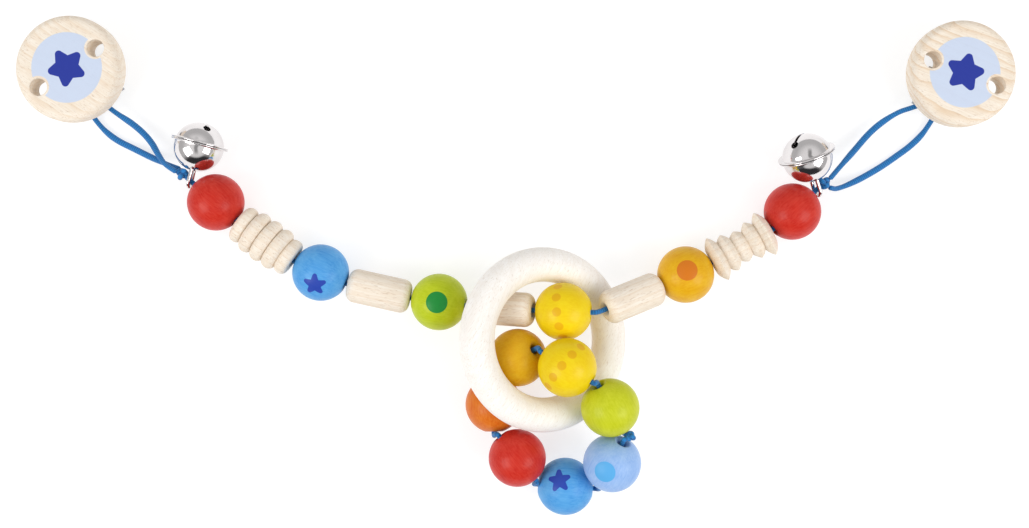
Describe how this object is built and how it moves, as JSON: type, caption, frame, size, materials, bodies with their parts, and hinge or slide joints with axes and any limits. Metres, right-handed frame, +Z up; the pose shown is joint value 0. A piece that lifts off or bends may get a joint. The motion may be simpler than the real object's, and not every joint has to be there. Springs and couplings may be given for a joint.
{
  "type": "pram chain toy",
  "caption": "Pram chain toy of painted wooden beads on elastic, with a teething ring and a rattle loop in the middle and a jingle bell and a round wooden clip at each end.",
  "frame": {"origin": "under the middle of the toy's bounding box, on the surface that it lies on", "axes": "+X along the chain from the left clip to the right clip, +Y from the rattle loop towards the clips, +Z up from the surface"},
  "size_m": [0.3492, 0.176, 0.0403],
  "materials": {
    "wood": "clear lacquer",
    "ring_wood": "bare, sanded",
    "red": "gloss lacquer",
    "blue": "gloss lacquer",
    "lime": "gloss lacquer",
    "yellow": "gloss lacquer",
    "amber": "gloss lacquer",
    "orange": "gloss lacquer",
    "pale_blue": "gloss lacquer",
    "elastic": "braided",
    "nickel": "polished",
    "steel": "satin",
    "jaw_plastic": "matte"
  },
  "bodies": {
    "centre_link": {"centre_elastic": "elastic", "rattle_elastic": "elastic", "rattle_knot": "elastic"},
    "centre_ball": {"centre_ball": "yellow"},
    "teething_ring": {"teething_ring": "ring_wood"},
    "left_link_1": {"left_elastic_1": "elastic"},
    "left_inner_cylinder": {"left_inner_cylinder": "wood"},
    "left_link_2": {"left_elastic_2": "elastic"},
    "green_ball": {"green_ball": "lime"},
    "left_link_3": {"left_elastic_3": "elastic"},
    "left_outer_cylinder": {"left_outer_cylinder": "wood"},
    "left_link_4": {"left_elastic_4": "elastic"},
    "blue_star_ball": {"blue_star_ball": "blue"},
    "left_link_5": {"left_elastic_5": "elastic"},
    "ribbed_barrel": {"ribbed_barrel": "wood"},
    "left_link_6": {"left_elastic_6": "elastic"},
    "left_red_ball": {"left_red_ball": "red"},
    "left_loop": {"left_knot": "elastic", "left_loop": "elastic"},
    "left_clip": {"left_clip_disc": "wood", "left_clip_plate": "steel", "left_rivet": "steel", "left_jaw_pad": "jaw_plastic", "left_lever_pin": "steel"},
    "left_lever": {"left_lever": "steel"},
    "left_bell": {"left_bell_slotted_shell": "nickel", "left_bell_eye_shell": "nickel", "left_bell_eye": "nickel"},
    "left_clapper": {"left_bell_clapper": "steel"},
    "right_link_1": {"right_elastic_1": "elastic"},
    "right_cylinder": {"right_cylinder": "wood"},
    "right_link_2": {"right_elastic_2": "elastic"},
    "amber_ball": {"amber_ball": "amber"},
    "right_link_3": {"right_elastic_3": "elastic"},
    "ribbed_spool": {"ribbed_spool": "wood"},
    "right_link_4": {"right_elastic_4": "elastic"},
    "right_red_ball": {"right_red_ball": "red"},
    "right_loop": {"right_knot": "elastic", "right_loop": "elastic"},
    "right_clip": {"right_clip_disc": "wood", "right_clip_plate": "steel", "right_rivet": "steel", "right_jaw_pad": "jaw_plastic", "right_lever_pin": "steel"},
    "right_lever": {"right_lever": "steel"},
    "right_bell": {"right_bell_slotted_shell": "nickel", "right_bell_eye_shell": "nickel", "right_bell_eye": "nickel"},
    "right_clapper": {"right_bell_clapper": "steel"},
    "rattle_pale_blue_ball": {"rattle_pale_blue_ball": "pale_blue"},
    "rattle_blue_star_ball": {"rattle_blue_star_ball": "blue"},
    "rattle_red_ball": {"rattle_red_ball": "red"},
    "rattle_orange_ball": {"rattle_orange_ball": "orange"},
    "rattle_amber_ball": {"rattle_amber_ball": "amber"},
    "rattle_yellow_ball": {"rattle_yellow_ball": "yellow"},
    "rattle_lime_ball": {"rattle_lime_ball": "lime"}
  },
  "joints": [
    {"name": "centre_ball_spin", "type": "hinge", "parent": "centre_link", "child": "centre_ball", "pos_m": [0.016, -0.01606, 0.02106], "axis": [0.9897, -0.0346, 0.1392], "continuous": true},
    {"name": "ring_spin", "type": "hinge", "parent": "centre_link", "child": "teething_ring", "pos_m": [0.00943, -0.02585, 0.01847], "axis": [0.4648, 0.039, 0.8846], "continuous": true},
    {"name": "left_link_1_bend", "type": "hinge", "parent": "centre_link", "child": "left_link_1", "pos_m": [0.00608, -0.01572, 0.01966], "axis": [0, 0, 1], "range_deg": [-8, 6]},
    {"name": "left_inner_cylinder_spin", "type": "hinge", "parent": "left_link_1", "child": "left_inner_cylinder", "pos_m": [-0.0051, -0.01503, 0.01628], "axis": [-0.9555, 0.0584, -0.2892], "continuous": true},
    {"name": "left_link_2_bend", "type": "hinge", "parent": "left_link_1", "child": "left_link_2", "pos_m": [-0.01695, -0.01431, 0.01269], "axis": [0, 0, 1], "range_deg": [-15, 15]},
    {"name": "green_ball_spin", "type": "hinge", "parent": "left_link_2", "child": "green_ball", "pos_m": [-0.02747, -0.01283, 0.0112], "axis": [-0.9806, 0.1378, -0.1392], "continuous": true},
    {"name": "left_link_3_bend", "type": "hinge", "parent": "left_link_2", "child": "left_link_3", "pos_m": [-0.03731, -0.01145, 0.0098], "axis": [0, 0, 1], "range_deg": [-8, 15]},
    {"name": "left_outer_cylinder_spin", "type": "hinge", "parent": "left_link_3", "child": "left_outer_cylinder", "pos_m": [-0.04871, -0.00886, 0.0099], "axis": [-0.9751, 0.2215, 0.0084], "continuous": true},
    {"name": "left_link_4_bend", "type": "hinge", "parent": "left_link_3", "child": "left_link_4", "pos_m": [-0.06012, -0.00626, 0.01], "axis": [0, 0, 1], "range_deg": [-5, 18]},
    {"name": "blue_star_ball_spin", "type": "hinge", "parent": "left_link_4", "child": "blue_star_ball", "pos_m": [-0.06932, -0.00227, 0.01], "axis": [-0.9171, 0.3987, 0], "continuous": true},
    {"name": "left_link_5_bend", "type": "hinge", "parent": "left_link_4", "child": "left_link_5", "pos_m": [-0.07852, 0.00173, 0.01], "axis": [0, 0, 1], "range_deg": [-4, 18]},
    {"name": "ribbed_barrel_spin", "type": "hinge", "parent": "left_link_5", "child": "ribbed_barrel", "pos_m": [-0.08857, 0.00899, 0.01], "axis": [-0.8111, 0.585, 0], "continuous": true},
    {"name": "left_link_6_bend", "type": "hinge", "parent": "left_link_5", "child": "left_link_6", "pos_m": [-0.09863, 0.01624, 0.01], "axis": [0, 0, 1], "range_deg": [-10, 15]},
    {"name": "left_red_ball_spin", "type": "hinge", "parent": "left_link_6", "child": "left_red_ball", "pos_m": [-0.10626, 0.02275, 0.01], "axis": [-0.7604, 0.6494, 0], "continuous": true},
    {"name": "left_loop_bend", "type": "hinge", "parent": "left_link_6", "child": "left_loop", "pos_m": [-0.11624, 0.03128, 0.01], "axis": [0, 0, 1], "range_deg": [-12, 20]},
    {"name": "left_clip_swivel", "type": "hinge", "parent": "left_loop", "child": "left_clip", "pos_m": [-0.14885, 0.05875, 0.0036], "axis": [0, 0, 1], "range_deg": [-15, 30]},
    {"name": "left_lever_hinge", "type": "hinge", "parent": "left_clip", "child": "left_lever", "pos_m": [-0.16115, 0.07699, 0.0036], "axis": [0.829, 0.5592, 0], "range_deg": [0, 90]},
    {"name": "left_bell_swing", "type": "hinge", "parent": "left_link_6", "child": "left_bell", "pos_m": [-0.11533, 0.0305, 0.01], "axis": [0.7604, -0.6494, 0], "range_deg": [0, 100]},
    {"name": "left_clapper_hop", "type": "slide", "parent": "left_bell", "child": "left_clapper", "axis": [0, 0, 1], "range_m": [0, 0.009]},
    {"name": "right_link_1_bend", "type": "hinge", "parent": "centre_link", "child": "right_link_1", "pos_m": [0.02991, -0.01562, 0.0206], "axis": [0, 0, -1], "range_deg": [-15, 15]},
    {"name": "right_cylinder_spin", "type": "hinge", "parent": "right_link_1", "child": "right_cylinder", "pos_m": [0.04018, -0.01168, 0.0166], "axis": [0.8773, 0.3367, -0.3421], "continuous": true},
    {"name": "right_link_2_bend", "type": "hinge", "parent": "right_link_1", "child": "right_link_2", "pos_m": [0.05044, -0.00774, 0.0126], "axis": [0, 0, -1], "range_deg": [-7, 13]},
    {"name": "amber_ball_spin", "type": "hinge", "parent": "right_link_2", "child": "amber_ball", "pos_m": [0.05948, -0.00363, 0.0112], "axis": [0.9011, 0.4107, -0.1392], "continuous": true},
    {"name": "right_link_3_bend", "type": "hinge", "parent": "right_link_2", "child": "right_link_3", "pos_m": [0.06851, 0.00049, 0.0098], "axis": [0, 0, -1], "range_deg": [-7, 13]},
    {"name": "ribbed_spool_spin", "type": "hinge", "parent": "right_link_3", "child": "ribbed_spool", "pos_m": [0.07923, 0.00619, 0.01043], "axis": [0.8818, 0.4689, 0.0512], "continuous": true},
    {"name": "right_link_4_bend", "type": "hinge", "parent": "right_link_3", "child": "right_link_4", "pos_m": [0.08994, 0.01189, 0.01105], "axis": [0, 0, -1], "range_deg": [-1, 18]},
    {"name": "right_red_ball_spin", "type": "hinge", "parent": "right_link_4", "child": "right_red_ball", "pos_m": [0.09747, 0.01843, 0.01], "axis": [0.7506, 0.6525, -0.1045], "continuous": true},
    {"name": "right_loop_bend", "type": "hinge", "parent": "right_link_4", "child": "right_loop", "pos_m": [0.10732, 0.02699, 0.00863], "axis": [0, 0, -1], "range_deg": [-15, 20]},
    {"name": "right_clip_swivel", "type": "hinge", "parent": "right_loop", "child": "right_clip", "pos_m": [0.15127, 0.05418, 0.0036], "axis": [0, 0, -1], "range_deg": [-30, 7]},
    {"name": "right_lever_hinge", "type": "hinge", "parent": "right_clip", "child": "right_lever", "pos_m": [0.15947, 0.07459, 0.0036], "axis": [0.9278, -0.373, 0], "range_deg": [0, 90]},
    {"name": "right_bell_swing", "type": "hinge", "parent": "right_link_4", "child": "right_bell", "pos_m": [0.10642, 0.02621, 0.00875], "axis": [0.7506, 0.6525, -0.1045], "range_deg": [0, 100]},
    {"name": "right_clapper_hop", "type": "slide", "parent": "right_bell", "child": "right_clapper", "axis": [0, 0, 1], "range_m": [0, 0.009]},
    {"name": "rattle_pale_blue_ball_spin", "type": "hinge", "parent": "centre_link", "child": "rattle_pale_blue_ball", "pos_m": [0.03255, -0.06857, 0.0205], "axis": [-0.3574, -0.8181, -0.4506], "continuous": true},
    {"name": "rattle_blue_star_ball_spin", "type": "hinge", "parent": "centre_link", "child": "rattle_blue_star_ball", "pos_m": [0.01669, -0.07806, 0.01096], "axis": [-0.9966, 0.0823, 0.0062], "continuous": true},
    {"name": "rattle_red_ball_spin", "type": "hinge", "parent": "centre_link", "child": "rattle_red_ball", "pos_m": [-0.00021, -0.06722, 0.01638], "axis": [-0.6374, 0.7705, -0.0052], "continuous": true},
    {"name": "rattle_orange_ball_spin", "type": "hinge", "parent": "centre_link", "child": "rattle_orange_ball", "pos_m": [-0.00842, -0.04912, 0.01023], "axis": [-0.0077, 0.9916, -0.1291], "continuous": true},
    {"name": "rattle_amber_ball_spin", "type": "hinge", "parent": "centre_link", "child": "rattle_amber_ball", "pos_m": [0.00017, -0.03206, 0.01856], "axis": [0.6482, 0.3547, 0.6738], "continuous": true},
    {"name": "rattle_yellow_ball_spin", "type": "hinge", "parent": "centre_link", "child": "rattle_yellow_ball", "pos_m": [0.01683, -0.03473, 0.03038], "axis": [0.8437, -0.5009, 0.1931], "continuous": true},
    {"name": "rattle_lime_ball_spin", "type": "hinge", "parent": "centre_link", "child": "rattle_lime_ball", "pos_m": [0.03157, -0.04882, 0.0263], "axis": [0.443, -0.8428, -0.3055], "continuous": true}
  ]
}
